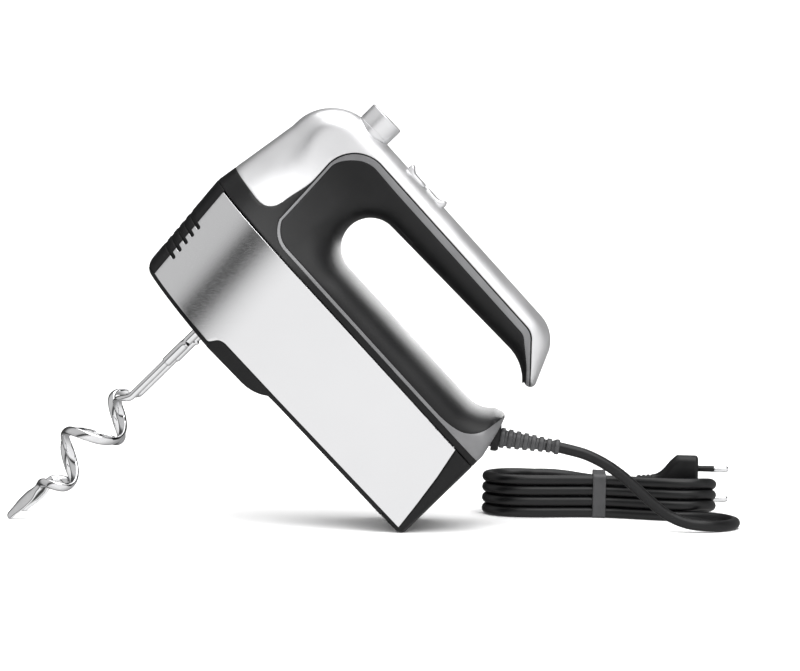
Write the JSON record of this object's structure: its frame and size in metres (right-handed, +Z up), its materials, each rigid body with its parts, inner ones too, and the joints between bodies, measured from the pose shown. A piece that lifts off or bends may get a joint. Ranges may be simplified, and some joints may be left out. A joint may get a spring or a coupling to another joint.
{
  "type": "hand mixer",
  "caption": "Hand mixer with an open rear handle, stainless side panels, soft grip, speed dial, fitted dough hooks, mains lead and flat plug, leaning on its hooks and heel.",
  "frame": {"origin": "middle of the standing mixer's base, on the surface, without the lead", "axes": "+Z up, +X from the hooks towards the heel, +Y across the mixer towards its left side"},
  "size_m": [0.4314, 0.1538, 0.2465],
  "materials": {
    "side_steel": "brushed",
    "satin_silver": "satin silver",
    "black_plastic": "fine matt",
    "soft_grip": "soft touch",
    "grey_trim": "satin",
    "chrome_steel": "polished",
    "drive_steel": "ground",
    "lamination": "oiled",
    "copper": "enamelled",
    "brass": "turned",
    "white_nylon": "moulded",
    "dark_nylon": "glass filled",
    "carbon": "pressed",
    "board": "solder mask",
    "lead_sheath": "extruded",
    "relief_grey": "moulded"
  },
  "bodies": {
    "housing": {"side_panel_left": "side_steel", "side_panel_right": "side_steel", "front_grille": "black_plastic", "base_tray": "black_plastic", "motor_tub": "dark_nylon", "rear_cap": "black_plastic", "collar_cover": "black_plastic", "saddle_grip": "soft_grip", "handle_grip": "soft_grip", "grip_trim": "grey_trim", "top_shell": "satin_silver", "speed_switch": "white_nylon", "handle_frame": "dark_nylon", "eject_spring": "drive_steel", "turbo_switch": "dark_nylon", "turbo_spring": "drive_steel", "control_board": "board", "stator_core": "lamination", "field_coils": "copper", "brush_holders": "brass", "carbon_brushes": "carbon", "motor_bearings": "brass", "motor_bracket_front": "drive_steel", "motor_bracket_rear": "drive_steel", "gear_case": "dark_nylon", "gear_case_cover": "dark_nylon", "gear_case_screws": "drive_steel", "spindle_bushes": "brass", "housing_screws": "drive_steel", "lead_clamp": "dark_nylon", "strain_relief": "relief_grey", "mains_lead": "lead_sheath", "lead_hank": "lead_sheath", "hank_tie": "relief_grey", "lead_tail": "lead_sheath", "plug_body": "black_plastic", "plug_pins": "chrome_steel"},
    "rotor": {"motor_shaft": "drive_steel", "worm": "drive_steel", "armature_core": "lamination", "armature_windings": "copper", "commutator": "copper", "cooling_fan": "white_nylon"},
    "left_spindle": {"spindle_left": "drive_steel", "worm_wheel_left": "white_nylon"},
    "right_spindle": {"spindle_right": "drive_steel", "worm_wheel_right": "white_nylon"},
    "left_eject_pin": {"eject_pin_left": "drive_steel"},
    "right_eject_pin": {"eject_pin_right": "drive_steel"},
    "left_hook": {"dough_hook_left": "chrome_steel"},
    "right_hook": {"dough_hook_right": "chrome_steel"},
    "eject": {"eject_button": "satin_silver", "eject_rod": "white_nylon", "eject_yoke": "drive_steel"},
    "turbo": {"turbo_button": "satin_silver"},
    "dial": {"speed_dial": "satin_silver", "dial_shaft": "white_nylon"}
  },
  "joints": [
    {"name": "rotor_spin", "type": "hinge", "parent": "housing", "child": "rotor", "pos_m": [0.01736, 0, 0.09831], "axis": [0.7126, 0, -0.7016], "continuous": true},
    {"name": "left_spindle_spin", "type": "hinge", "parent": "housing", "child": "left_spindle", "pos_m": [-0.02255, 0.02, 0.1376], "axis": [0.7016, 0, 0.7126], "continuous": true},
    {"name": "right_spindle_spin", "type": "hinge", "parent": "housing", "child": "right_spindle", "pos_m": [-0.02255, -0.02, 0.1376], "axis": [0.7016, 0, 0.7126], "continuous": true},
    {"name": "eject_press", "type": "slide", "parent": "housing", "child": "eject", "axis": [-0.7016, 0, -0.7126], "range_m": [0, 0.006], "stiffness_N_per_m": 600, "springref_m": -0.004, "deforming": ["eject_spring"]},
    {"name": "left_pin_push", "type": "slide", "parent": "left_spindle", "child": "left_eject_pin", "axis": [-0.7016, 0, -0.7126], "range_m": [0, 0.006]},
    {"name": "left_hook_pull", "type": "slide", "parent": "left_eject_pin", "child": "left_hook", "axis": [-0.7016, 0, -0.7126], "range_m": [0, 0.05]},
    {"name": "right_pin_push", "type": "slide", "parent": "right_spindle", "child": "right_eject_pin", "axis": [-0.7016, 0, -0.7126], "range_m": [0, 0.006]},
    {"name": "right_hook_pull", "type": "slide", "parent": "right_eject_pin", "child": "right_hook", "axis": [-0.7016, 0, -0.7126], "range_m": [0, 0.05]},
    {"name": "dial_turn", "type": "hinge", "parent": "housing", "child": "dial", "pos_m": [0.05203, 0, 0.23117], "axis": [-0.7016, 0, -0.7126], "range_deg": [0, 180]},
    {"name": "turbo_press", "type": "slide", "parent": "housing", "child": "turbo", "axis": [-0.7016, 0, -0.7126], "range_m": [0, 0.0018], "stiffness_N_per_m": 900, "springref_m": -0.0025, "deforming": ["turbo_spring"]}
  ],
  "couplings": [
    {"joint": "left_spindle_spin", "follows": "rotor_spin", "ratio": -0.071429},
    {"joint": "right_spindle_spin", "follows": "rotor_spin", "ratio": 0.071429},
    {"joint": "left_pin_push", "follows": "eject_press", "ratio": 1},
    {"joint": "right_pin_push", "follows": "eject_press", "ratio": 1}
  ]
}
